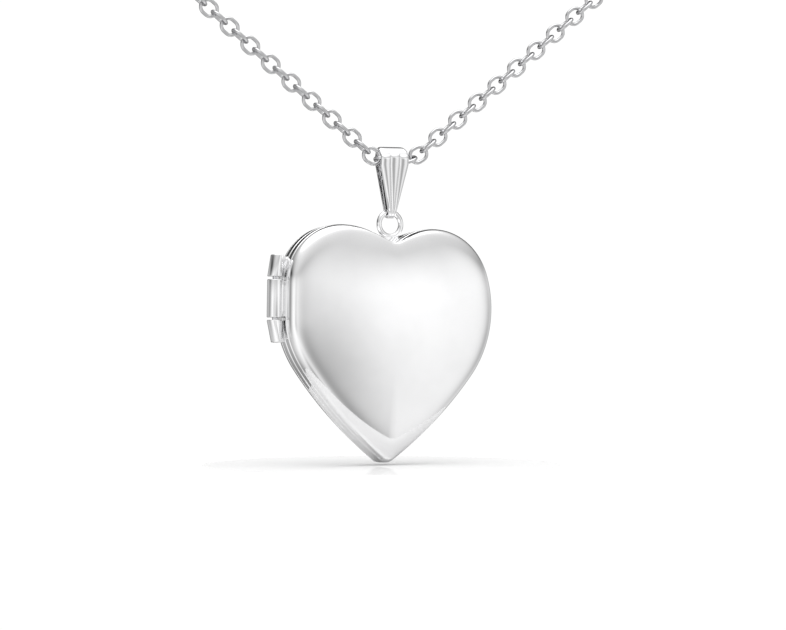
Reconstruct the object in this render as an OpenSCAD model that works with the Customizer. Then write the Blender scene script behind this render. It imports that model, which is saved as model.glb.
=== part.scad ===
// Heart locket with a pinched bail on a cable chain.
// Millimetres, +Z up. The open face of the chain and the front of the locket look towards -Y.
// The origin is the centre of the big eye of the end tag at the right hand end of the chain.
// Inner helper frame: x = 0 and z = 0 at the hanging ring centre, y = 0 on the parting plane.

/* [Locket] */
// width of the heart across the lobes
heart_w = 28.6; // [20:0.1:35]
// height of the heart from lobe top to tip
heart_h = 28.85; // [20:0.05:36]
// radius of the rounded tip
tip_r = 1.2; // [0.6:0.1:3]
// radius of the fillet in the cleft
cleft_r = 0.8; // [0.4:0.1:2]
// drop of the tip below the hanging ring centre
tip_drop = 29.25; // [20:0.05:36]
// height of the flat rim band on each half
rim_h = 1.05; // [0.8:0.05:2]
// width of the rim band, outline to inner wall
rim_w = 0.95; // [0.6:0.05:1.5]
// half of the closing gap between the two rims
seam = 0.02; // [0.01:0.01:0.1]
// height of the steep wall around the cover
wall_h = 1.4; // [0.2:0.05:2]
// height of the gentle crown inside that wall
crown_h = 1.05; // [0.2:0.05:3]
// distance of the flattened hinge side left of the heart axis
flat_x = 13.92; // [12:0.02:20]
// step from the heart outline to the foot of the cover
puff_step = 0.04; // [0:0.02:0.6]
// sheet thickness of the covers
sheet_t = 0.38; // [0.2:0.02:0.8]

/* [Hinge] */
// distance of the pin axis left of the heart axis
pin_x = 14.91; // [12:0.01:18]
// outer radius of the knuckles
knuckle_r = 0.95; // [0.6:0.01:1.5]
// radius of the hinge pin
pin_r = 0.3; // [0.2:0.05:0.5]
// running clearance on the radius of the middle knuckle
pin_play = 0.03; // [0.01:0.01:0.1]
// lean of the top knuckle towards the heart, degrees
lean_top = 9; // [0:1:20]
// lean of the bottom knuckle towards the heart, degrees
lean_bottom = 13; // [0:1:20]

/* [Inside] */
// width of the photo frame ring
frame_w = 1.1; // [0.6:0.1:2]
// height of the photo frame ring
frame_h = 0.35; // [0.3:0.05:0.8]
// thickness of the window and of the card
leaf_t = 0.2; // [0.1:0.05:0.4]
// depth the closing collar reaches into the front half
collar_h = 0.4; // [0.2:0.05:0.6]

/* [Hanging ring and bail] */
// centre line radius of the hanging ring
ring_r = 1.5; // [1:0.05:2.5]
// wire radius of the hanging ring
ring_wire = 0.33; // [0.2:0.01:0.5]
// offset of the hanging ring behind the parting plane
ring_y = 0.36; // [0.34:0.01:1]
// height of the top fold of the bail
bail_top = 9.5; // [6:0.1:14]
// width of the front leg of the bail at the top
bail_w = 3.8; // [2:0.05:6]
// width of the back leg of the bail at the top
bail_back_w = 2.7; // [2:0.1:6]
// width of the bail at the hook
bail_low_w = 1.0; // [0.6:0.1:2]
// strip thickness of the bail
bail_t = 0.32; // [0.2:0.02:0.6]

/* [Chain] */
// spacing of the links
pitch = 1.696; // [1.2:0.001:3]
// wire diameter of the links
link_wire = 0.43; // [0.3:0.01:0.8]
// outer width of a link
link_w = 2.2; // [1.5:0.01:3]
// number of links in each arm
arm_links = 19; // [10:1:30]
// angle of the arms above the horizontal, degrees
arm_angle = 40.4; // [20:0.1:60]
// turn of the arms about the vertical, against the locket, degrees
arm_turn = 10; // [0:1:40]

/* [Ends] */
// centre line radius of the two jump rings
jump_r = 1.2; // [1:0.05:2]
// wire radius of the two jump rings
jump_wire = 0.3; // [0.2:0.05:0.4]
// hole radius of the small eyes
eye_r = 0.6; // [0.5:0.05:1]
// hole radius of the big eye of the end tag
tag_eye_r = 1.4; // [1:0.1:2]
// thickness of the end tag
tag_t = 0.8; // [0.5:0.1:1.2]
// thickness of the clasp body
clasp_t = 2.0; // [1.5:0.1:3]
// length of the clasp oval
clasp_len = 9.2; // [7:0.1:12]
// width of the clasp oval
clasp_w = 5.8; // [4:0.1:8]
// radius of the clasp rivet
rivet_r = 0.3; // [0.2:0.05:0.5]

/* [Hidden] */
$fn = 48;
steel = [0.82, 0.83, 0.85];
dull = [0.68, 0.69, 0.72];
ivory = [0.93, 0.91, 0.85];
clear = [0.8, 0.88, 0.92, 0.5];

// headings, in degrees, where one arc of the heart outline passes into the next
tip_a = 36;
flank_a = 53;
side_a = 109;
lobe_a = 227.6;
// radii of the three big arcs, solved from the width and the height
ds = sin(flank_a) - sin(tip_a);
dl = sin(lobe_a) - sin(side_a);
flank_0 = (heart_w / 2 - tip_r * sin(tip_a)) / ds;
flank_1 = -(1 - sin(flank_a)) / ds;
lobe_0 = -(heart_w / 2 + cleft_r * sin(lobe_a)) / dl;
lobe_1 = -(sin(side_a) - 1) / dl;
rise_0 = tip_r * (1 - cos(tip_a)) + flank_0 * (cos(tip_a) - cos(flank_a))
    + lobe_0 * (cos(side_a) + 1);
rise_1 = flank_1 * (cos(tip_a) - cos(flank_a)) + cos(flank_a) - cos(side_a)
    + lobe_1 * (cos(side_a) + 1);
side_r = (heart_h - rise_0) / rise_1;
flank_r = flank_0 + flank_1 * side_r;
lobe_r = lobe_0 + lobe_1 * side_r;
// arc centres of the right half
c_tip = [0, tip_r - tip_drop];
c_flank = c_tip + (tip_r - flank_r) * [sin(tip_a), -cos(tip_a)];
c_side = c_flank + (flank_r - side_r) * [sin(flank_a), -cos(flank_a)];
c_lobe = c_side + (side_r - lobe_r) * [sin(side_a), -cos(side_a)];
c_cleft = c_lobe + (lobe_r + cleft_r) * [sin(lobe_a), -cos(lobe_a)];
cleft_z = c_cleft[1] - cleft_r;

// placement of the locket under the bail
lean_side = 2.3;
lean_back = -2.8;
// distance of the hanging ring centre right of the heart axis
ring_x = 0.84;
// link centres next to the bail and link proportions
left_0 = [-2.445, 8.361];
right_0 = [3.932, 8.604];
link_in = pitch + 0.045;
link_c = (link_w - link_wire) / 2;
arm_dir = [cos(arm_angle), sin(arm_angle)];
end_run = pitch * (arm_links - 1);
// distances along an arm from the last link centre
ring_at = link_in / 2 - jump_wire - 0.1 + jump_r;
eye_at = ring_at + jump_r + eye_r - jump_wire - 0.1;
big_at = eye_at + 3;
eye_x = right_0[0] + (end_run + big_at) * arm_dir[0] * cos(arm_turn);
eye_y = ring_y - (end_run + big_at) * arm_dir[0] * sin(arm_turn);
eye_z = right_0[1] + (end_run + big_at) * arm_dir[1];

// points of one arc; s is +1 for a convex arc and -1 for the cleft
function arc_pts(c, r, a, b, n, s = 1) =
    [for (i = [1 : n]) c + s * r * [sin(a + (b - a) * i / n), -cos(a + (b - a) * i / n)]];

// right half of the outline, moved inwards by d, from the tip to the cleft
function half_outline(d, k) =
    let (a0 = d < tip_r ? tip_a : asin(-c_flank[0] / (flank_r - d)))
    concat(
        d < tip_r
            ? concat([[0, -tip_drop + d]], arc_pts(c_tip, tip_r - d, 0, tip_a, 3 * k))
            : [[0, c_flank[1] - (flank_r - d) * cos(a0)]],
        arc_pts(c_flank, flank_r - d, a0, flank_a, 6 * k),
        arc_pts(c_side, side_r - d, flank_a, side_a, 8 * k),
        arc_pts(c_lobe, lobe_r - d, side_a, lobe_a, 11 * k),
        arc_pts(c_cleft, cleft_r + d, lobe_a, 180, 3 * k, -1)
    );

// smooth lower bound of two distances
function soft_min(a, b, k) = (a + b - sqrt((a - b) * (a - b) + k * k)) / 2;

// whole outline, anticlockwise seen from the front, flattened on the hinge side
function outline(d, k = 1) =
    let (h = half_outline(d, k), n = len(h))
    concat(h, [for (i = [n - 2 : -1 : 1]) [-soft_min(h[i][0], flat_x - d, 0.25), h[i][1]]]);

// places the helper frame so that the origin is the big eye of the end tag
module placed() {
    translate([-eye_x, -eye_y, -eye_z])
        children();
}

// places the locket, which hangs a little turned about the hanging ring centre;
// inside it x = 0 is the heart axis
module hung() {
    placed()
        translate([0, ring_y, 0])
            rotate([lean_back, 0, 0])
                rotate([0, lean_side, 0])
                    translate([-ring_x, -ring_y, 0])
                        children();
}

// solid heart prism of inset d between two depths, y0 < y1
module heart_prism(d, y0, y1) {
    translate([0, y1, 0])
        rotate([90, 0, 0])
            linear_extrude(height = y1 - y0)
                polygon(outline(d));
}

// heart shaped band between the insets d0 < d1
module heart_band(d0, d1, y0, y1) {
    translate([0, y1, 0])
        rotate([90, 0, 0])
            linear_extrude(height = y1 - y0)
                difference() {
                    polygon(outline(d0));
                    polygon(outline(d1));
                }
}

// centre, round radius and shape powers of the puffed cover
dome_c = [0, -11.3];
dome_round = 12.9;
dome_k = 12;
function dome_s(i) = sin(90 * i / dome_k);
function dome_at(o, s) =
    let (v = o - dome_c, w = pow(s, 4))
    dome_c + s * ((1 - w) * dome_round * v / norm(v) + w * v);
function dome_h(s, cut) =
    (wall_h - cut) * pow(max(0, 1 - pow(s, 30)), 0.45) + crown_h * (1 - pow(s, 2.2));

// points of one skin of the cover: apex first, then rings out to the foot
function skin(d, cut) =
    let (o = outline(d, 1))
    concat(
        [[dome_c[0], -(rim_h + dome_h(0, cut)), dome_c[1]]],
        [for (i = [1 : dome_k]) for (q = o)
            let (p = dome_at(q, dome_s(i)))
            [p[0], -(rim_h + dome_h(dome_s(i), cut)), p[1]]]
    );

// puffed cover sheet for the front half
module cover() {
    n = len(outline(puff_step));
    outer = skin(puff_step, 0);
    inner = skin(puff_step + sheet_t, sheet_t);
    m = len(outer);
    last = 1 + (dome_k - 1) * n;
    polyhedron(
        points = concat(outer, inner),
        faces = concat(
            [for (j = [0 : n - 1]) [0, 1 + (j + 1) % n, 1 + j]],
            [for (i = [0 : dome_k - 2]) for (j = [0 : n - 1])
                let (a = 1 + i * n + j, b = 1 + i * n + (j + 1) % n)
                [a, b, b + n, a + n]],
            [for (j = [0 : n - 1]) [m, m + 1 + j, m + 1 + (j + 1) % n]],
            [for (i = [0 : dome_k - 2]) for (j = [0 : n - 1])
                let (a = m + 1 + i * n + j, b = m + 1 + i * n + (j + 1) % n)
                [a + n, b + n, b, a]],
            [for (j = [0 : n - 1])
                let (a = last + j, b = last + (j + 1) % n)
                [a, b, m + b, m + a]]
        )
    );
}

module front_cover() {
    color(steel) hung() cover();
}

module back_cover() {
    color(steel) hung() mirror([0, 1, 0]) cover();
}

module front_rim() {
    color(steel) hung() heart_band(0, rim_w, -rim_h, -seam);
}

module back_rim() {
    color(steel) hung() heart_band(0, rim_w, seam, rim_h);
}

// photo frame, window and card, stacked from the parting plane outwards
frame_y = collar_h + 0.1;
glass_y = frame_y + frame_h;
card_y = glass_y + leaf_t;

module front_photo_frame() {
    color(dull) hung() heart_band(rim_w, rim_w + frame_w, -glass_y, -frame_y);
}

module front_window() {
    color(clear) hung() heart_prism(rim_w + 0.05, -card_y, -glass_y);
}

module front_photo_card() {
    color(ivory) hung() heart_prism(rim_w + 0.05, -card_y - leaf_t, -card_y);
}

module back_photo_frame() {
    color(dull) hung() heart_band(rim_w, rim_w + frame_w, frame_y, glass_y);
}

module back_window() {
    color(clear) hung() heart_prism(rim_w + 0.05, glass_y, card_y);
}

module back_photo_card() {
    color(ivory) hung() heart_prism(rim_w + 0.05, card_y, card_y + leaf_t);
}

// thin collar soldered inside the back rim; it centres the front rim when closed
snap_z = c_side[1];
snap_l = 2.4;
module closing_collar() {
    color(dull) hung()
        difference() {
            union() {
                heart_band(rim_w, rim_w + 0.3, seam, frame_y);
                heart_band(rim_w + 0.07, rim_w + 0.3, -collar_h, seam);
            }
            translate([-20, -1, -20])
                cube([9, 3, 18]);
            translate([11, -1, snap_z - snap_l / 2 - 0.3])
                cube([4, 3, snap_l + 0.6]);
        }
}

// small spring tongue on the front rim, behind it the bead it clicks past
snap_x = heart_w / 2 - rim_w;
module snap_tongue() {
    color(dull) hung() {
        difference() {
            translate([snap_x - 0.4, -frame_y, snap_z - snap_l / 2])
                cube([0.6, frame_y - seam, snap_l]);
            heart_band(0, rim_w, -rim_h, rim_h);
        }
        translate([snap_x - 0.4, -0.2, snap_z - snap_l / 2])
            cube([0.2, 0.7, snap_l]);
    }
}

module snap_catch() {
    color(dull) hung()
        difference() {
            translate([snap_x - 0.15, 0.1, snap_z - 0.9])
                cube([0.5, 0.4, 1.8]);
            heart_band(0, rim_w, -rim_h, rim_h);
        }
}

// knuckle heights below the ring centre, top to bottom
mid_z0 = -12.05;
mid_z1 = -7.45;
top_z0 = -7.1;
top_z1 = -4.45;
low_z0 = -15.05;
low_z1 = -12.35;
// largest radius about the pin that swings clear of the flattened rims
clear_r = pin_x - flat_x - 0.03;

// one knuckle: barrel leaning about the height zp, cut flat at both ends, with a leaf to the rim
module knuckle(z0, z1, zp, lean, bore, y0) {
    difference() {
        union() {
            intersection() {
                translate([-pin_x, 0, zp])
                    rotate([0, lean, 0])
                        cylinder(h = 10, r = knuckle_r, center = true, $fn = 96);
                translate([-pin_x - 3, -3, z0])
                    cube([6, 6, z1 - z0]);
                union() {
                    translate([-pin_x, 0, z0 - 1])
                        cylinder(h = z1 - z0 + 2, r = clear_r, $fn = 96);
                    translate([-pin_x - 3, -3, z0 - 1])
                        cube([3, 6, z1 - z0 + 2]);
                }
            }
            translate([-pin_x, y0, z0 + 0.15])
                cube([4, 0.55, z1 - z0 - 0.3]);
        }
        translate([-pin_x, 0, z0 - 1])
            cylinder(h = z1 - z0 + 2, r = bore);
        heart_prism(0, -3, 3);
    }
}

module front_knuckle() {
    color(steel) hung() knuckle(mid_z0, mid_z1, mid_z0, 0, pin_r + pin_play, -0.75);
}

module back_knuckle_top() {
    color(steel) hung() knuckle(top_z0, top_z1, top_z0, lean_top, pin_r, 0.2);
}

module back_knuckle_bottom() {
    color(steel) hung() knuckle(low_z0, low_z1, low_z1, -lean_bottom, pin_r, 0.2);
}

module hinge_pin() {
    color(dull) hung()
        translate([-pin_x, 0, low_z0])
            cylinder(h = top_z1 - low_z0, r = pin_r);
}

// wire ring in a plane across Y
module wire_ring(r, w) {
    rotate([90, 0, 0])
        rotate_extrude()
            translate([r, 0])
                circle(r = w, $fn = 24);
}

// soldered foot that fills the cleft under the ring
foot = [
    [ring_x - 1.35, -1.0], [-1.5, -2.2], [0, cleft_z - 0.5], [1.7, -2.0], [ring_x + 1.2, -1.2]
];
module hanging_ring() {
    color(steel) hung()
        difference() {
            union() {
                translate([ring_x, ring_y, 0])
                    wire_ring(ring_r, ring_wire);
                translate([0, ring_y + ring_wire, 0])
                    rotate([90, 0, 0])
                        linear_extrude(height = ring_y + ring_wire - seam)
                            polygon(foot);
            }
            heart_prism(0, -3, 3);
            translate([ring_x, 3, 0])
                rotate([90, 0, 0])
                    cylinder(h = 6, r = ring_r - ring_wire);
        }
}

// bail: a belt around a big circle at the top and a small hook circle at the ring
hook_z = ring_r;
hook_r = ring_wire + 0.12 + bail_t / 2;
fold_r = 1.34;
fold_z = bail_top - fold_r - bail_t / 2;
span = fold_z - hook_z;
taper = asin((fold_r - hook_r) / span);
// centre line of the belt as [y, z, turn of the outward normal, share of the front face]
function belt() = concat(
    [for (i = [0 : 5]) let (a = -90 + (90 + taper) * i / 6)
        [hook_r * cos(a), hook_z + hook_r * sin(a), a, 1]],
    [for (i = [0 : 18]) let (t = i / 18, r = hook_r + (fold_r - hook_r) * t)
        [r * cos(taper), hook_z + span * t + r * sin(taper), taper, 1]],
    [for (i = [1 : 13]) let (a = taper + (180 - 2 * taper) * i / 14)
        [fold_r * cos(a), fold_z + fold_r * sin(a), a, (1 + cos(a)) / 2]],
    [for (i = [0 : 10]) let (t = 1 - i / 10, r = hook_r + (fold_r - hook_r) * t)
        [-r * cos(taper), hook_z + span * t + r * sin(taper), 180 - taper, 0]],
    [for (i = [1 : 5]) let (a = 180 - taper + (90 + taper) * i / 6)
        [hook_r * cos(a), hook_z + hook_r * sin(a), a, 0]]
);
function clamp(v, a, b) = min(max(v, a), b);
function bail_half(z, f) =
    let (t = clamp((z - 1.4) / (fold_z - 0.8 - 1.4), 0, 1))
    (bail_low_w + (bail_back_w + (bail_w - bail_back_w) * f - bail_low_w) * t) / 2;
// height of the three rounded flutes at u, from -1 to 1 across the front leg
function flute(u, z, f) =
    let (up = clamp((fold_z + 0.45 - z) / 0.5, 0, 1), low = clamp((z - 1.1) / 0.6, 0, 1))
    0.2 * (f > 0.9 ? 1 : 0) * up * low * sqrt(abs(cos(270 * u)));
function bail_section(b) =
    let (w = bail_half(b[1], b[3]), n = [cos(b[2]), sin(b[2])], c = [b[0], b[1]])
    concat(
        [for (i = [0 : 24]) let (u = -1 + i / 12,
                g = bail_t / 2 + flute(u, b[1], b[3]) - 0.1 * pow(abs(u), 8),
                p = c + n * g)
            [w * u, -p[0], p[1]]],
        [for (i = [0 : 6]) let (u = 1 - i / 3, p = c - n * bail_t / 2)
            [w * u, -p[0], p[1]]]
    );

module bail() {
    ring = belt();
    m = len(ring);
    k = 32;
    color(steel) placed()
        translate([0, ring_y, 0])
            polyhedron(
                points = [for (b = ring) each bail_section(b)],
                faces = [for (i = [0 : m - 1]) for (j = [0 : k - 1])
                    let (a = i * k, b = ((i + 1) % m) * k, j1 = (j + 1) % k)
                    [a + j, a + j1, b + j1, b + j]]
            );
}

// one oval wire link along X, lying in the XZ plane
module link() {
    s = link_in / 2 + link_wire / 2 - link_c;
    rotate([90, 0, 0]) {
        for (e = [0, 1])
            mirror([e, 0, 0])
                translate([s, 0, 0])
                    rotate([0, 0, -90])
                        rotate_extrude(angle = 180)
                            translate([link_c, 0])
                                circle(d = link_wire, $fn = 24);
        for (e = [-1, 1])
            translate([-s, e * link_c, 0])
                rotate([0, 90, 0])
                    cylinder(h = 2 * s, d = link_wire, $fn = 24);
    }
}

// link at a centre, turned to an angle over the horizontal, rolled about its length,
// turned about the vertical and shifted in depth
module link_at(c, a, roll, turn = 0, shift = 0) {
    translate([c[0], ring_y + shift, c[1]])
        rotate([0, 0, turn])
            rotate([0, -a, 0])
                rotate([roll, 0, 0])
                    link();
}

// turns an arm about the vertical through its first link
module turned(c) {
    translate([c[0], ring_y, 0])
        rotate([0, 0, -arm_turn])
            translate([-c[0], -ring_y, 0])
                children();
}

module chain_links_left() {
    color(steel) placed() turned(left_0)
        for (i = [1 : arm_links - 1])
            link_at(left_0 + i * pitch * [-arm_dir[0], arm_dir[1]], -arm_angle, 90 * (i % 2));
}

module chain_links_right() {
    color(steel) placed() turned(right_0)
        for (i = [1 : arm_links - 1])
            link_at(right_0 + i * pitch * arm_dir, arm_angle, 90 * (i % 2));
}

module chain_links_bail() {
    color(steel) placed() {
        link_at(left_0, -30, 0, -14, 0.08);
        link_at([-0.889, 7.81], -15, 75, -7, -0.027);
        link_at([0.773, 7.573], 2, 0, 0, -0.016);
        link_at([2.429, 7.945], 18, -75, -7, -0.007);
        link_at(right_0, 31, 0, -14, -0.075);
    }
}

// frame at the last link of an arm: X runs on outwards along the arm
module at_end(side) {
    c = side > 0 ? right_0 : left_0;
    placed()
        turned(c)
            translate([c[0] + side * end_run * arm_dir[0], ring_y, c[1] + end_run * arm_dir[1]])
                mirror([side > 0 ? 0 : 1, 0, 0])
                    rotate([0, -arm_angle, 0])
                        children();
}

module jump_ring() {
    translate([ring_at, 0, 0])
        rotate([90, 0, 0])
            wire_ring(jump_r, jump_wire);
}

module tag_jump_ring() {
    color(steel) at_end(1) jump_ring();
}

module clasp_jump_ring() {
    color(steel) at_end(-1) jump_ring();
}

module end_tag() {
    color(steel) at_end(1)
        translate([0, tag_t / 2, 0])
            rotate([90, 0, 0])
                difference() {
                    union() {
                        translate([eye_at, 0, 0])
                            cylinder(h = tag_t, r = eye_r + 0.5);
                        translate([big_at, 0, 0])
                            cylinder(h = tag_t, r = tag_eye_r + 0.6);
                    }
                    translate([eye_at, 0, -1])
                        cylinder(h = tag_t + 2, r = eye_r);
                    translate([big_at, 0, -1])
                        cylinder(h = tag_t + 2, r = tag_eye_r);
                }
}

// clasp profile: X along the clasp from the small eye, Y across it
clasp_c = eye_at + 0.9 + clasp_len / 2;
rivet_u = clasp_c - 2.35;
rivet_v = 1.55;
gate_t = 1.0;
module oval(a, b, shift) {
    translate([clasp_c + shift, 0])
        scale(a)
            polygon([for (i = [0 : 63]) [cos(i * 5.625), sin(i * 5.625) * b / a]]);
}

module clasp_band() {
    difference() {
        oval(clasp_len / 2, clasp_w / 2, 0);
        oval(clasp_len / 2 - 1.25, clasp_w / 2 - 1.15, 0.25);
    }
}

// flat slab of the profile plane, centred on the clasp
module slab(t, y = 0) {
    translate([0, t / 2 + y, 0])
        rotate([90, 0, 0])
            linear_extrude(height = t)
                children();
}

module clasp_body() {
    color(steel) at_end(-1)
        difference() {
            union() {
                slab(clasp_t) clasp_band();
                slab(1.1)
                    difference() {
                        translate([eye_at, 0]) circle(r = eye_r + 0.5);
                        translate([eye_at, 0]) circle(r = eye_r);
                        oval(clasp_len / 2 - 0.3, clasp_w / 2 - 0.3, 0);
                    }
                slab(clasp_t) translate([rivet_u, rivet_v]) circle(r = 0.8);
            }
            slab(clasp_t + 1) translate([rivet_u + 0.75, 0.4]) square([4.1, 4]);
            slab(gate_t + 0.5, -0.2) translate([rivet_u - 0.95, 0.2]) square([4, 4]);
            slab(clasp_t + 1) translate([rivet_u, rivet_v]) circle(r = rivet_r);
        }
}

module clasp_lever() {
    color(steel) at_end(-1)
        slab(gate_t)
            difference() {
                union() {
                    intersection() {
                        clasp_band();
                        translate([rivet_u, 0.5]) square([4.75, 4]);
                    }
                    translate([rivet_u, rivet_v]) circle(r = 0.75);
                    translate([rivet_u + 0.9, 2.5]) square([0.7, 1.3]);
                    translate([rivet_u + 1.25, 3.8]) circle(r = 0.55);
                }
                translate([rivet_u, rivet_v]) circle(r = rivet_r + 0.03);
            }
}

module clasp_rivet() {
    color(dull) at_end(-1)
        translate([rivet_u, clasp_t / 2 + 0.15, rivet_v])
            rotate([90, 0, 0])
                union() {
                    cylinder(h = clasp_t + 0.3, r = rivet_r);
                    cylinder(h = 0.15, r = rivet_r + 0.2);
                    translate([0, 0, clasp_t + 0.15])
                        cylinder(h = 0.15, r = rivet_r + 0.2);
                }
}

module clasp_spring() {
    color(dull) at_end(-1)
        translate([rivet_u, -gate_t / 2 - 0.22, rivet_v])
            wire_ring(0.52, 0.16);
}

front_cover();
front_rim();
front_photo_frame();
front_window();
front_photo_card();
front_knuckle();
snap_tongue();
back_cover();
back_rim();
closing_collar();
back_photo_frame();
back_window();
back_photo_card();
back_knuckle_top();
back_knuckle_bottom();
hinge_pin();
snap_catch();
hanging_ring();
bail();
chain_links_left();
chain_links_right();
chain_links_bail();
end_tag();
tag_jump_ring();
clasp_jump_ring();
clasp_body();
clasp_lever();
clasp_rivet();
clasp_spring();
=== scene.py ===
import math

import bpy
from mathutils import Matrix, Vector


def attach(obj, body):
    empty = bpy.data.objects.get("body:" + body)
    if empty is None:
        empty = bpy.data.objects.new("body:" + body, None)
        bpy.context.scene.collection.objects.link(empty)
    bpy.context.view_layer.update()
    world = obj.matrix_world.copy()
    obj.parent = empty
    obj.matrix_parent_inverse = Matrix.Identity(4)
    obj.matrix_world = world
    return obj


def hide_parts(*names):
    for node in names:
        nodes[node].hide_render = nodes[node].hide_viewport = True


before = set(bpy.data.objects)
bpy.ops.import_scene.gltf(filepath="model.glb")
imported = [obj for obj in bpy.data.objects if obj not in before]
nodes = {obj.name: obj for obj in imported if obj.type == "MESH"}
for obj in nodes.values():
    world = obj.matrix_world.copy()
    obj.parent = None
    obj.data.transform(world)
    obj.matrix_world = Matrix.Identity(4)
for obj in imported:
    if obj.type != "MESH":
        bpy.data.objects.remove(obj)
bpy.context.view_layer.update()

sin = lambda a: math.sin(math.radians(a))
cos = lambda a: math.cos(math.radians(a))

# ---------------------------------------------------------------- sizes, mm and degrees
# heart outline, with the centre of the hanging ring at x = 0, z = 0 and the parting plane at y = 0
HEART_W, HEART_H, TIP_R, CLEFT_R, TIP_DROP = 28.6, 28.85, 1.2, 0.8, 29.25
FLAT_X, FLAT_SOFT = 13.92, 0.25
TIP_A, FLANK_A, SIDE_A, LOBE_A = 36, 53, 109, 227.6
# rim bands and puffed covers
RIM_H, RIM_W, RIM_ROLL, SEAM = 1.05, 0.95, 0.17, 0.02
WALL, CROWN, STEP, SHEET, GROOVE = 1.4, 1.05, 0.04, 0.38, 0.16
DOME_C, DOME_ROUND = (0.0, -11.3), 12.9
# hinge: each barrel has its lower end, its upper end, the height it leans about and its lean
PIN_X, PIN_R, PIN_PLAY, KNUCKLE_R, SWING_GAP = 14.91, 0.3, 0.03, 0.95, 0.03
MIDDLE, TOP, BOTTOM = (-12.05, -7.45, -12.05, 0), (-7.1, -4.45, -7.1, 9), (-15.05, -12.35, -12.35, -13)
LEAF_T, FRONT_LEAF_Y, BACK_LEAF_Y = 0.55, -0.75, 0.2
CLEAR_R = PIN_X - FLAT_X - SWING_GAP
# hanging ring and bail
RING_R, RING_WIRE, RING_X, RING_Y = 1.5, 0.33, 0.84, 0.36
LEAN_BACK, LEAN_SIDE = -2.8, 2.3
BAIL_TOP, BAIL_W, BAIL_BACK, BAIL_LOW, BAIL_T = 9.5, 3.8, 2.7, 1.0, 0.32
FOLD_R, FLUTE_DEPTH = 1.34, 0.2
# chain and its ends
PITCH, WIRE, LINK_W, ARM_N, ARM_A, ARM_TURN = 1.696, 0.43, 2.2, 19, 40.4, 10
LEFT_0, RIGHT_0 = (-2.445, 8.361), (3.932, 8.604)
JUMP_R, JUMP_WIRE, END_PLAY = 1.2, 0.3, 0.1
EYE_WALL, TAG_REACH = 0.6, 3
LINK_IN = PITCH + 0.045
LINK_C = (LINK_W - WIRE) / 2
RUN = PITCH * (ARM_N - 1)
RING_AT = LINK_IN / 2 - JUMP_WIRE - END_PLAY + JUMP_R
EYE_AT = RING_AT + JUMP_R + EYE_WALL - JUMP_WIRE - END_PLAY
BIG_AT = EYE_AT + TAG_REACH
REACH = (RUN + BIG_AT) * cos(ARM_A)
EYE = Vector((RIGHT_0[0] + REACH * cos(ARM_TURN), RING_Y - REACH * sin(ARM_TURN),
              RIGHT_0[1] + (RUN + BIG_AT) * sin(ARM_A)))

# from millimetres to the frame, whose origin is the eye of the end tag, and the lean of the hung locket
PLACED = Matrix.Scale(0.001, 4) @ Matrix.Translation(-EYE)
HUNG = (PLACED @ Matrix.Translation((0, RING_Y, 0)) @ Matrix.Rotation(math.radians(LEAN_BACK), 4, "X")
        @ Matrix.Rotation(math.radians(LEAN_SIDE), 4, "Y") @ Matrix.Translation((-RING_X, -RING_Y, 0)))


# ---------------------------------------------------------------- materials
def node(nt, kind, **props):
    n = nt.nodes.new(kind)
    for k, v in props.items():
        setattr(n, k, v)
    return n


def steel(name, tint, rough, scratch=0.02, brushed=0.0, scale=900.0):
    """Polished or satin steel, with clouds in its roughness and tint and hairline scratches."""
    m = bpy.data.materials.new(name)
    m.use_nodes = True
    nt = m.node_tree
    b = nt.nodes["Principled BSDF"]
    b.inputs["Metallic"].default_value = 1.0
    tc = node(nt, "ShaderNodeTexCoord")
    clouds = node(nt, "ShaderNodeTexNoise")
    clouds.inputs["Scale"].default_value = scale * 0.25
    clouds.inputs["Detail"].default_value = 4
    nt.links.new(tc.outputs["Object"], clouds.inputs["Vector"])
    hair = node(nt, "ShaderNodeMapping")
    hair.inputs["Scale"].default_value = (1.0, 1.0, 9.0)
    hair.inputs["Rotation"].default_value = (0.0, math.radians(38), 0.0)
    nt.links.new(tc.outputs["Object"], hair.inputs["Vector"])
    lines = node(nt, "ShaderNodeTexNoise")
    lines.inputs["Scale"].default_value = scale * 4
    lines.inputs["Detail"].default_value = 3
    nt.links.new(hair.outputs["Vector"], lines.inputs["Vector"])
    ramp = node(nt, "ShaderNodeMapRange")
    ramp.inputs["From Min"].default_value = 0.3
    ramp.inputs["From Max"].default_value = 0.75
    ramp.inputs["To Min"].default_value = rough
    ramp.inputs["To Max"].default_value = rough + 0.05 + brushed * 0.15
    nt.links.new(clouds.outputs["Fac"], ramp.inputs["Value"])
    nt.links.new(ramp.outputs["Result"], b.inputs["Roughness"])
    col = node(nt, "ShaderNodeValToRGB")
    col.color_ramp.elements[0].position = 0.3
    col.color_ramp.elements[0].color = [c * 0.95 for c in tint] + [1]
    col.color_ramp.elements[1].position = 0.7
    col.color_ramp.elements[1].color = list(tint) + [1]
    nt.links.new(clouds.outputs["Fac"], col.inputs["Fac"])
    nt.links.new(col.outputs["Color"], b.inputs["Base Color"])
    bump = node(nt, "ShaderNodeBump")
    bump.inputs["Strength"].default_value = scratch + brushed * 0.2
    bump.inputs["Distance"].default_value = 0.00001
    nt.links.new(lines.outputs["Fac"], bump.inputs["Height"])
    nt.links.new(bump.outputs["Normal"], b.inputs["Normal"])
    return m


POLISH = steel("polished_steel", (0.93, 0.93, 0.935), 0.045)
# the chain is the same polished steel with its tint darkened: painted shade in place of the dark reflected
# edges of its links
SHADED_CHAIN_STEEL = steel("chain_steel_painted_shade", (0.66, 0.66, 0.67), 0.06, scale=2600)
SATIN = steel("frame_metal", (0.80, 0.80, 0.82), 0.22, brushed=1.0)
DRAWN = steel("pin_steel", (0.72, 0.72, 0.74), 0.16, brushed=0.5, scale=2600)


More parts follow.
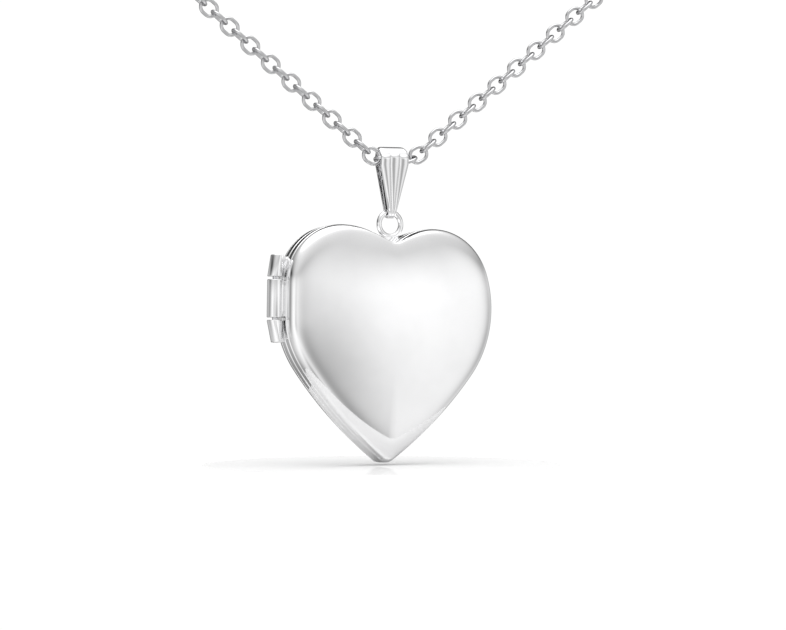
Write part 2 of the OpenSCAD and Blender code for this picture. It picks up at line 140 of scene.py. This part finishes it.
def window_material():
    """Clear sheet with faint smears."""
    m = bpy.data.materials.new("clear_window")
    m.use_nodes = True
    nt = m.node_tree
    b = nt.nodes["Principled BSDF"]
    b.inputs["Transmission Weight"].default_value = 1.0
    b.inputs["IOR"].default_value = 1.46
    tc = node(nt, "ShaderNodeTexCoord")
    n = node(nt, "ShaderNodeTexNoise")
    n.inputs["Scale"].default_value = 300
    nt.links.new(tc.outputs["Object"], n.inputs["Vector"])
    r = node(nt, "ShaderNodeMapRange")
    r.inputs["To Min"].default_value = 0.02
    r.inputs["To Max"].default_value = 0.08
    nt.links.new(n.outputs["Fac"], r.inputs["Value"])
    nt.links.new(r.outputs["Result"], b.inputs["Roughness"])
    return m


def card_material():
    """Plain uncoated card, with no picture."""
    m = bpy.data.materials.new("photo_card")
    m.use_nodes = True
    nt = m.node_tree
    b = nt.nodes["Principled BSDF"]
    b.inputs["Specular IOR Level"].default_value = 0.25
    tc = node(nt, "ShaderNodeTexCoord")
    n = node(nt, "ShaderNodeTexNoise")
    n.inputs["Scale"].default_value = 5000
    n.inputs["Detail"].default_value = 6
    nt.links.new(tc.outputs["Object"], n.inputs["Vector"])
    c = node(nt, "ShaderNodeValToRGB")
    c.color_ramp.elements[0].color = (0.78, 0.75, 0.66, 1)
    c.color_ramp.elements[1].color = (0.90, 0.87, 0.80, 1)
    nt.links.new(n.outputs["Fac"], c.inputs["Fac"])
    nt.links.new(c.outputs["Color"], b.inputs["Base Color"])
    r = node(nt, "ShaderNodeMapRange")
    r.inputs["To Min"].default_value = 0.7
    r.inputs["To Max"].default_value = 0.95
    nt.links.new(n.outputs["Fac"], r.inputs["Value"])
    nt.links.new(r.outputs["Result"], b.inputs["Roughness"])
    p = node(nt, "ShaderNodeBump")
    p.inputs["Strength"].default_value = 0.2
    p.inputs["Distance"].default_value = 0.00001
    nt.links.new(n.outputs["Fac"], p.inputs["Height"])
    nt.links.new(p.outputs["Normal"], b.inputs["Normal"])
    return m


WINDOW = window_material()
CARD = card_material()


# ---------------------------------------------------------------- mesh tools
def piece(name, verts, faces, mat, slot, body, replaces=(), m=HUNG, sharp=40):
    """Makes a mesh from points in millimetres, shades it smooth and lets it ride on its body."""
    me = bpy.data.meshes.new(name)
    me.from_pydata([tuple(m @ Vector(v)) for v in verts], [], faces)
    me.validate()
    me.shade_smooth()
    me.set_sharp_from_angle(angle=math.radians(sharp))
    me.materials.append(mat)
    ob = bpy.data.objects.new(name, me)
    bpy.context.scene.collection.objects.link(ob)
    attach(ob, body)
    if replaces:
        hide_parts(*replaces)
    return ob


def grid(rows, close_rows=True):
    """Quads between closed rows of equally many points."""
    m, n = len(rows), len(rows[0])
    faces = []
    for i in range(m if close_rows else m - 1):
        for j in range(n):
            a, b = i * n, ((i + 1) % m) * n
            k = (j + 1) % n
            faces.append((a + j, a + k, b + k, b + j))
    return [p for r in rows for p in r], faces


def join(*parts):
    """One mesh from several."""
    verts, faces = [], []
    for v, f in parts:
        o = len(verts)
        verts += v
        faces += [tuple(i + o for i in q) for q in f]
    return verts, faces


def moved(part, m):
    return [tuple(m @ Vector(v)) for v in part[0]], part[1]


def torus(r, w, nu=96, nv=24):
    """Ring in a plane across Y, centred at 0."""
    rows = []
    for i in range(nu):
        a = 360 * i / nu
        row = []
        for j in range(nv):
            b = 360 * j / nv
            row.append(((r + w * cos(b)) * cos(a), w * sin(b), (r + w * cos(b)) * sin(a)))
        rows.append(row)
    return grid(rows)


def lathe(profile, n=64):
    """Closed profile of (r, z) points turned about Z."""
    rows = [[(r * cos(360 * i / n), r * sin(360 * i / n), z) for r, z in profile] for i in range(n)]
    return grid(rows)


# ---------------------------------------------------------------- heart outline
# Four arcs tangent to each other: their radii follow from the width, the height and the angles they meet at.
DS, DL = sin(FLANK_A) - sin(TIP_A), sin(LOBE_A) - sin(SIDE_A)
FLANK_0, FLANK_1 = (HEART_W / 2 - TIP_R * sin(TIP_A)) / DS, -(1 - sin(FLANK_A)) / DS
LOBE_0, LOBE_1 = -(HEART_W / 2 + CLEFT_R * sin(LOBE_A)) / DL, -(sin(SIDE_A) - 1) / DL
RISE_0 = (TIP_R * (1 - cos(TIP_A)) + FLANK_0 * (cos(TIP_A) - cos(FLANK_A)) + LOBE_0 * (cos(SIDE_A) + 1))
RISE_1 = FLANK_1 * (cos(TIP_A) - cos(FLANK_A)) + cos(FLANK_A) - cos(SIDE_A) + LOBE_1 * (cos(SIDE_A) + 1)
SIDE_R = (HEART_H - RISE_0) / RISE_1
FLANK_R, LOBE_R = FLANK_0 + FLANK_1 * SIDE_R, LOBE_0 + LOBE_1 * SIDE_R


def step_to(c, k, a):
    """The point k away from c along the normal of an outline that runs at angle a."""
    return (c[0] + k * sin(a), c[1] - k * cos(a))


C_TIP = (0, TIP_R - TIP_DROP)
C_FLANK = step_to(C_TIP, TIP_R - FLANK_R, TIP_A)
C_SIDE = step_to(C_FLANK, FLANK_R - SIDE_R, FLANK_A)
C_LOBE = step_to(C_SIDE, SIDE_R - LOBE_R, SIDE_A)
C_CLEFT = step_to(C_LOBE, LOBE_R + CLEFT_R, LOBE_A)
CLEFT_Z = C_CLEFT[1] - CLEFT_R


def arc(c, r, a, b, n, s=1):
    return [step_to(c, s * r, a + (b - a) * i / n) for i in range(1, n + 1)]


def flattened(x, d):
    """Distance of the hinge side from the axis, cut off softly at the flat."""
    b = FLAT_X - d
    return (x + b - math.sqrt((x - b) ** 2 + FLAT_SOFT ** 2)) / 2


def outline(d, k=5):
    """Heart outline moved inwards by d, anticlockwise from the tip seen from the front."""
    h = [(0.0, -TIP_DROP + d)]
    h += arc(C_TIP, TIP_R - d, 0, TIP_A, 3 * k)
    h += arc(C_FLANK, FLANK_R - d, TIP_A, FLANK_A, 6 * k)
    h += arc(C_SIDE, SIDE_R - d, FLANK_A, SIDE_A, 8 * k)
    h += arc(C_LOBE, LOBE_R - d, SIDE_A, LOBE_A, 11 * k)
    h += arc(C_CLEFT, CLEFT_R + d, LOBE_A, 180, 3 * k, -1)
    return h + [(-flattened(x, d), z) for x, z in h[-2:0:-1]]


def rim(side):
    """Rim band: straight outer wall, rolled edges, flat inner wall."""
    e = RIM_ROLL
    sec = [(RIM_W, SEAM), (e, SEAM)]
    sec += [(e - e * sin(t), SEAM + e - e * cos(t)) for t in range(15, 90, 15)]
    sec += [(0.0, SEAM + e + (RIM_H - SEAM - 2 * e) * t / 8) for t in range(9)]
    sec += [(e - e * cos(t), RIM_H - e + e * sin(t)) for t in range(15, 90, 15)]
    sec += [(e, RIM_H), (RIM_W - 0.04, RIM_H), (RIM_W, RIM_H - 0.04), (RIM_W, SEAM + 0.04)]
    rows = [[(x, side * h, z) for x, z in outline(d)] for d, h in sec]
    v, f = grid(rows)
    return v, (f if side > 0 else [q[::-1] for q in f])


def dome(s, cut):
    """Height over the rim: a steep rounded wall and a gentle crown inside it."""
    return (WALL - cut) * max(0.0, 1 - s ** 30) ** 0.45 + CROWN * (1 - s ** 2.2)


def skin(d, cut, side, rings=60):
    """Puffed sheet inside the outline moved in by d: round rings near the middle, heart shaped at the foot."""
    o = outline(d)
    rows = []
    for i in range(1, rings + 1):
        s = sin(90 * i / rings)
        w = s ** 4
        h = dome(s, cut)
        if h < GROOVE + 0.01:
            break
        y = side * (RIM_H + h)
        row = []
        for x, z in o:
            vx, vz = x - DOME_C[0], z - DOME_C[1]
            n = math.hypot(vx, vz)
            row.append((DOME_C[0] + s * ((1 - w) * DOME_ROUND * vx / n + w * vx), y,
                        DOME_C[1] + s * ((1 - w) * DOME_ROUND * vz / n + w * vz)))
        rows.append(row)
    for t in range(0, 91, 15):
        y = side * (RIM_H + GROOVE * (1 - sin(t)))
        rows.append([(x, y, z) for x, z in outline(d + GROOVE * (1 - cos(t)))])
    v, f = grid(rows, close_rows=False)
    n = len(o)
    v.append((DOME_C[0], side * (RIM_H + dome(0.0, cut)), DOME_C[1]))
    c = len(v) - 1
    f += [(c, (j + 1) % n, j) for j in range(n)]
    return v, f, n


def cover(side):
    """Outer and inner skin, joined along the foot."""
    v1, f1, n = skin(STEP, 0.0, side)
    v2, f2, _ = skin(STEP + SHEET, SHEET, side)
    o = len(v1)
    last = len(v1) - 1 - n
    faces = list(f1) + [tuple(i + o for i in q[::-1]) for q in f2]
    faces += [(last + j, o + last + j, o + last + (j + 1) % n, last + (j + 1) % n) for j in range(n)]
    if side > 0:
        faces = [q[::-1] for q in faces]
    return v1 + v2, faces


v, f = cover(-1)
piece("front_cover_sheet", v, [q[::-1] for q in f], POLISH, "polished_steel", "front_half", ["front_cover"])
v, f = cover(1)
piece("back_cover_sheet", v, [q[::-1] for q in f], POLISH, "polished_steel", "back_half", ["back_cover"])
piece("front_rim_band", *rim(-1), POLISH, "polished_steel", "front_half", ["front_rim"])
piece("back_rim_band", *rim(1), POLISH, "polished_steel", "back_half", ["back_rim"])


# ---------------------------------------------------------------- hinge
def edge_x(z):
    """Outer edge of the hinge side at height z, as a distance left of the axis."""
    best = min((p for p in outline(0) if p[0] < -3), key=lambda p: abs(p[1] - z))
    return -best[0]


def knuckle(z0, z1, zp, lean, bore, y0):
    """Barrel from z0 to z1 that leans about the height zp, trimmed to swing clear of the rims, and its leaf."""
    b, tilt = 0.1, math.tan(math.radians(lean))
    prof = [(bore, z0 + 0.03), (bore + 0.03, z0)]
    prof += [(KNUCKLE_R - b + b * sin(t), z0 + b - b * cos(t)) for t in range(0, 91, 18)]
    prof += [(KNUCKLE_R - b + b * cos(t), z1 - b + b * sin(t)) for t in range(0, 91, 18)]
    prof += [(bore + 0.03, z1), (bore, z1 - 0.03)]
    v, f = lathe(prof, 96)
    pts = []
    for x, y, z in v:
        r = math.hypot(x, y)
        k = min(max((r - bore) / (KNUCKLE_R - b - bore), 0.0), 1.0)
        x += tilt * (z - zp) * k
        r = math.hypot(x, y)
        if x > 0 and r > CLEAR_R:
            x, y = x * CLEAR_R / r, y * CLEAR_R / r
        pts.append((x - PIN_X, y, z))
    barrel = (pts, f)
    rows = []
    t, e = LEAF_T, 0.08
    for i in range(13):
        z = z0 + 0.15 + (z1 - z0 - 0.3) * i / 12
        k = e if i in (0, 12) else 0
        xa, xb = -PIN_X + 0.6, -edge_x(z) + 0.15
        rows.append([(xa, y0 + k, z), (xb, y0 + k, z), (xb, y0 + t - k, z), (xa, y0 + t - k, z)])
    v, f = grid(rows, close_rows=False)
    f += [(0, 3, 2, 1), tuple(len(v) - 4 + i for i in (0, 1, 2, 3))]
    return join(barrel, (v, f))


piece("middle_knuckle", *knuckle(*MIDDLE, PIN_R + PIN_PLAY, FRONT_LEAF_Y), POLISH, "polished_steel",
      "front_half", ["front_knuckle"])
piece("top_knuckle", *knuckle(*TOP, PIN_R, BACK_LEAF_Y), POLISH, "polished_steel", "back_half",
      ["back_knuckle_top"])
piece("bottom_knuckle", *knuckle(*BOTTOM, PIN_R, BACK_LEAF_Y), POLISH, "polished_steel", "back_half",
      ["back_knuckle_bottom"])
PIN_LOW, PIN_HIGH, PIN_EDGE, AXIS = BOTTOM[0], TOP[1], 0.05, 0.001
pin = lathe([(AXIS, PIN_LOW), (PIN_R - PIN_EDGE, PIN_LOW), (PIN_R, PIN_LOW + PIN_EDGE),
             (PIN_R, PIN_HIGH - PIN_EDGE), (PIN_R - PIN_EDGE, PIN_HIGH), (AXIS, PIN_HIGH)], 48)
piece("hinge_pin_wire", *moved(pin, Matrix.Translation((-PIN_X, 0, 0))), DRAWN, "pin_steel", "back_half",
      ["hinge_pin"])


# ---------------------------------------------------------------- hanging ring with its soldered foot
def ring_foot(z_low=CLEFT_Z - 0.4, z_high=-1.1, sides=48):
    """Solder that fills the cleft and flares up to the ring, kept out of the ring's hole."""
    rows = []
    for i in range(31):
        t = i / 30
        z = z_low + (z_high - z_low) * t
        x0, rx = RING_X * t, 0.25 + 1.25 * sin(90 * min(1.0, t * 1.35)) - 0.3 * t ** 3
        row = []
        for j in range(sides):
            a = 360 * j / sides
            x, y = x0 + rx * cos(a), RING_Y + 0.01 + 0.32 * sin(a)
            r = math.hypot(x - RING_X, z)
            if r > RING_R:
                row.append((x, y, z))
            else:
                k = RING_R / max(r, 0.01)
                row.append((RING_X + (x - RING_X) * k, y, z * k))
        rows.append(row)
    v, f = grid(rows, close_rows=False)
    f += [tuple(range(sides - 1, -1, -1)), tuple(range(len(v) - sides, len(v)))]
    return v, f


ring = moved(torus(RING_R, RING_WIRE, 128, 32), Matrix.Translation((RING_X, RING_Y, 0)))
piece("hanging_ring_wire", *join(ring, ring_foot()), POLISH, "polished_steel", "back_half", ["hanging_ring"])

# ---------------------------------------------------------------- bail
HOOK_Z, HOOK_R = RING_R, RING_WIRE + 0.12 + BAIL_T / 2
FOLD_Z = BAIL_TOP - FOLD_R - BAIL_T / 2
SPAN = FOLD_Z - HOOK_Z
TAPER = math.degrees(math.asin((FOLD_R - HOOK_R) / SPAN))
clamp = lambda v, a, b: min(max(v, a), b)


def belt():
    """Closed centre line of the bail's strip: y, z, angle of the normal, and 1 in front to 0 behind."""
    out = []
    for i in range(16):
        a = -90 + (90 + TAPER) * i / 16
        out.append((HOOK_R * cos(a), HOOK_Z + HOOK_R * sin(a), a, 1.0))
    for i in range(71):
        t = i / 70
        r = HOOK_R + (FOLD_R - HOOK_R) * t
        out.append((r * cos(TAPER), HOOK_Z + SPAN * t + r * sin(TAPER), TAPER, 1.0))
    for i in range(1, 36):
        a = TAPER + (180 - 2 * TAPER) * i / 36
        out.append((FOLD_R * cos(a), FOLD_Z + FOLD_R * sin(a), a, (1 + cos(a)) / 2))
    for i in range(31):
        t = 1 - i / 30
        r = HOOK_R + (FOLD_R - HOOK_R) * t
        out.append((-r * cos(TAPER), HOOK_Z + SPAN * t + r * sin(TAPER), 180 - TAPER, 0.0))
    for i in range(1, 16):
        a = 180 - TAPER + (90 + TAPER) * i / 16
        out.append((HOOK_R * cos(a), HOOK_Z + HOOK_R * sin(a), a, 0.0))
    return out


def bail_mesh():
    """Tapered strip along the belt, with three flutes down its front."""
    rows = []
    for y, z, a, f in belt():
        t = clamp((z - 1.4) / (FOLD_Z - 0.8 - 1.4), 0, 1)
        w = (BAIL_LOW + (BAIL_BACK + (BAIL_W - BAIL_BACK) * f - BAIL_LOW) * t) / 2
        n = (cos(a), sin(a))
        row = []
        for i in range(73):
            u = -1 + i / 36
            top = FOLD_Z + 0.45 + (0.12 if abs(u) < 0.33 else -0.05)
            up = clamp((top - z) / 0.45, 0, 1) ** 0.5
            low = clamp((z - 1.1) / 0.8, 0, 1)
            g = FLUTE_DEPTH * (1 if f > 0.9 else 0) * up * low * abs(cos(270 * u)) ** 0.5
            g = BAIL_T / 2 + g - 0.12 * abs(u) ** 14
            row.append((w * u, -(y + n[0] * g), z + n[1] * g))
        for i in range(13):
            u = 1 - i / 6
            g = -BAIL_T / 2 + 0.05 * abs(u) ** 8
            row.append((w * u, -(y + n[0] * g), z + n[1] * g))
        rows.append(row)
    return grid(rows)


piece("fluted_bail", *moved(bail_mesh(), Matrix.Translation((0, RING_Y, 0))), POLISH, "polished_steel",
      "bail", ["bail"], m=PLACED, sharp=50)


# ---------------------------------------------------------------- chain
def link():
    """One oval link lying in the XZ plane, long along X."""
    s = LINK_IN / 2 + WIRE / 2 - LINK_C
    path = []
    for i in range(25):
        a = -90 + 180 * i / 24
        path.append((s + LINK_C * cos(a), LINK_C * sin(a), a))
    for i in range(25):
        a = 90 + 180 * i / 24
        path.append((-s + LINK_C * cos(a), LINK_C * sin(a), a))
    r = WIRE / 2
    rows = []
    for x, z, a in path:
        section = [(r * cos(20 * j), r * sin(20 * j)) for j in range(18)]
        rows.append([(x + out * cos(a), y, z + out * sin(a)) for out, y in section])
    return grid(rows)


LINK = link()


def spin(angle, axis):
    return Matrix.Rotation(math.radians(angle), 4, axis)


def link_at(c, a, roll, turn=0, shift=0):
    """A link with its middle at c, climbing at angle a and rolled about its own length."""
    place = Matrix.Translation((c[0], RING_Y + shift, c[1]))
    return moved(LINK, place @ spin(turn, "Z") @ spin(-a, "Y") @ spin(roll, "X"))


def turned(c):
    """Turns an arm about the vertical through its first link."""
    there, back = Matrix.Translation((c[0], RING_Y, 0)), Matrix.Translation((-c[0], -RING_Y, 0))
    return there @ spin(-ARM_TURN, "Z") @ back


def arm(side):
    """The links of one taut arm, every other one rolled a quarter turn, after the one in the bail."""
    c = RIGHT_0 if side > 0 else LEFT_0
    links = []
    for i in range(1, ARM_N):
        at = (c[0] + side * i * PITCH * cos(ARM_A), c[1] + i * PITCH * sin(ARM_A))
        links.append(moved(link_at(at, side * ARM_A, 90 * (i % 2)), turned(c)))
    return links


in_bail = [link_at(LEFT_0, -30, 0, -14, 0.08),
           link_at((-0.889, 7.81), -15, 75, -7, -0.027),
           link_at((0.773, 7.573), 2, 0, 0, -0.016),
           link_at((2.429, 7.945), 18, -75, -7, -0.007),
           link_at(RIGHT_0, 31, 0, -14, -0.075)]
for name, links, cad in (("left_chain_arm", arm(-1), "chain_links_left"),
                         ("right_chain_arm", arm(1), "chain_links_right"),
                         ("links_in_bail", in_bail, "chain_links_bail")):
    piece(name, *join(*links), SHADED_CHAIN_STEEL, "polished_steel", "chain", [cad], m=PLACED)


# ---------------------------------------------------------------- end fittings
def at_end(side):
    """Placement of a fitting past the last link of an arm; the clasp's arm is the mirrored one."""
    c = RIGHT_0 if side > 0 else LEFT_0
    last = Matrix.Translation((c[0] + side * RUN * cos(ARM_A), RING_Y, c[1] + RUN * sin(ARM_A)))
    m = PLACED @ turned(c) @ last
    if side < 0:
        m = m @ Matrix.Diagonal((-1, 1, 1, 1))
    return m @ Matrix.Rotation(math.radians(-ARM_A), 4, "Y")


jump = moved(torus(JUMP_R, JUMP_WIRE, 72, 24), Matrix.Translation((RING_AT, 0, 0)) @ spin(90, "X"))
piece("tag_jump_wire", *jump, SHADED_CHAIN_STEEL, "polished_steel", "ends", ["tag_jump_ring"], m=at_end(1))
jump_v, jump_f = jump
piece("clasp_jump_wire", jump_v, [q[::-1] for q in jump_f], SHADED_CHAIN_STEEL, "polished_steel", "ends",
      ["clasp_jump_ring"], m=at_end(-1))

# the CAD's own meshes that are kept take their materials here
for mat, names in ((SATIN, ("front_photo_frame", "back_photo_frame", "closing_collar", "snap_tongue",
                            "snap_catch")),
                   (WINDOW, ("front_window", "back_window")),
                   (CARD, ("front_photo_card", "back_photo_card")),
                   (POLISH, ("end_tag", "clasp_body", "clasp_lever")),
                   (DRAWN, ("clasp_rivet", "clasp_spring"))):
    for name in names:
        kept = nodes[name].data.materials
        kept.clear()
        kept.append(mat)


# ---------------------------------------------------------------- floor, light, camera
FLOOR_R, FLOOR_GAP, FLOOR_POLISH = 0.022, 0.0003, 0.2  # metres, metres, share of the light mirrored
BACKGROUND = 1.03  # what the camera sees past the object


def floor_material():
    """Pale matt surface with a faint polish."""
    m = bpy.data.materials.new("pale_floor")
    m.use_nodes = True
    nt = m.node_tree
    nt.nodes.clear()
    matt = node(nt, "ShaderNodeBsdfDiffuse")
    matt.inputs["Color"].default_value = (0.93, 0.93, 0.93, 1)
    mirror = node(nt, "ShaderNodeBsdfAnisotropic")
    mirror.inputs["Roughness"].default_value = 0.06
    both = node(nt, "ShaderNodeMixShader")
    both.inputs[0].default_value = FLOOR_POLISH
    nt.links.new(matt.outputs[0], both.inputs[1])
    nt.links.new(mirror.outputs[0], both.inputs[2])
    surface = node(nt, "ShaderNodeOutputMaterial")
    nt.links.new(both.outputs[0], surface.inputs["Surface"])
    return m


tip = HUNG @ Vector((0, 0, -TIP_DROP))
edge = [(tip.x + FLOOR_R * cos(i * 5), tip.y + FLOOR_R * sin(i * 5), tip.z - FLOOR_GAP) for i in range(72)]
disc = bpy.data.meshes.new("floor")
disc.from_pydata(edge, [], [tuple(range(72))])
disc.materials.append(floor_material())
floor = bpy.data.objects.new("floor", disc)
bpy.context.scene.collection.objects.link(floor)

world = bpy.data.worlds.new("tent")
bpy.context.scene.world = world
world.use_nodes = True
wt = world.node_tree
wt.nodes.clear()
geo = node(wt, "ShaderNodeTexCoord")


def math_node(op, a, b):
    n = node(wt, "ShaderNodeMath", operation=op)
    for i, v in enumerate((a, b)):
        if isinstance(v, (int, float)):
            n.inputs[i].default_value = v
        else:
            wt.links.new(v, n.inputs[i])
    return n.outputs[0]


def lobe(azimuth, elevation, sharp):
    """1 towards that direction, falling off around it; azimuth 0 looks back at the front (-Y)."""
    d = (sin(azimuth) * cos(elevation), -cos(azimuth) * cos(elevation), sin(elevation))
    dot = node(wt, "ShaderNodeVectorMath", operation="DOT_PRODUCT")
    wt.links.new(geo.outputs["Generated"], dot.inputs[0])
    dot.inputs[1].default_value = d
    short = math_node("SUBTRACT", dot.outputs["Value"], 1.0)
    return math_node("POWER", 2.718, math_node("MULTIPLY", short, sharp))


# soft patches of the tent, added to its level: azimuth, elevation, sharpness and strength
LOBES = [(10, -2, 40.0, -0.28), (18, -25, 18.0, -0.65), (-6, -6, 12.0, -0.58), (72, -8, 8.0, -0.65),
         (-36, 2, 60.0, -0.4), (-34, -38, 26.0, -0.6), (-120, 0, 2.5, -0.6), (-98, 5, 14.0, -0.4),
         (-165, -45, 10.0, -0.5), (152, 0, 3.0, -1.2), (152, 3, 40.0, 1.3), (0, 90, 6.0, 1.4)]
# bands of the tent: the two elevations between which it grows, and by how much
BANDS = [(7, 19, -0.48), (48, 62, 0.5), (-50, -28, 0.25)]
LEVEL, DARKEST = 1.03, 0.03
def rise(low, high, amount):
    """Grows by amount between two elevations."""
    z = node(wt, "ShaderNodeSeparateXYZ")
    wt.links.new(geo.outputs["Generated"], z.inputs[0])
    n = node(wt, "ShaderNodeMapRange", interpolation_type="SMOOTHSTEP")
    n.inputs["From Min"].default_value = sin(low)
    n.inputs["From Max"].default_value = sin(high)
    n.inputs["To Max"].default_value = amount
    wt.links.new(z.outputs["Z"], n.inputs["Value"])
    return n.outputs["Result"]


level = LEVEL
for az, el, sh, amp in LOBES:
    level = math_node("ADD", math_node("MULTIPLY", lobe(az, el, sh), amp), level)
for low, high, amount in BANDS:
    level = math_node("ADD", level, rise(low, high, amount))
level = math_node("MAXIMUM", level, DARKEST)
path = node(wt, "ShaderNodeLightPath")
mix = node(wt, "ShaderNodeMix", data_type="FLOAT")
wt.links.new(path.outputs["Is Camera Ray"], mix.inputs[0])
wt.links.new(level, mix.inputs[2])
mix.inputs[3].default_value = BACKGROUND
bg = node(wt, "ShaderNodeBackground")
bg.inputs["Color"].default_value = (1, 1, 1, 1)
wt.links.new(mix.outputs[0], bg.inputs["Strength"])
out = node(wt, "ShaderNodeOutputWorld")
wt.links.new(bg.outputs[0], out.inputs["Surface"])

scene = bpy.context.scene
scene.view_settings.view_transform = "Standard"
scene.view_settings.look = "None"

# camera: direction in degrees, distance in metres, lens in millimetres
AZ, EL, DIST, LENS = -28, 0.5, 0.42, 156.6
target = PLACED @ Vector((0.25, 0.02, -11.14))
cam_data = bpy.data.cameras.new("camera")
cam_data.lens = LENS
cam_data.sensor_width = 36
cam_data.clip_start = 0.01
cam = bpy.data.objects.new("camera", cam_data)
scene.collection.objects.link(cam)
back = Vector((sin(AZ) * cos(EL), -cos(AZ) * cos(EL), sin(EL)))
cam.location = target + back * DIST
cam.rotation_euler = (-back).to_track_quat("-Z", "Y").to_euler()
scene.camera = cam
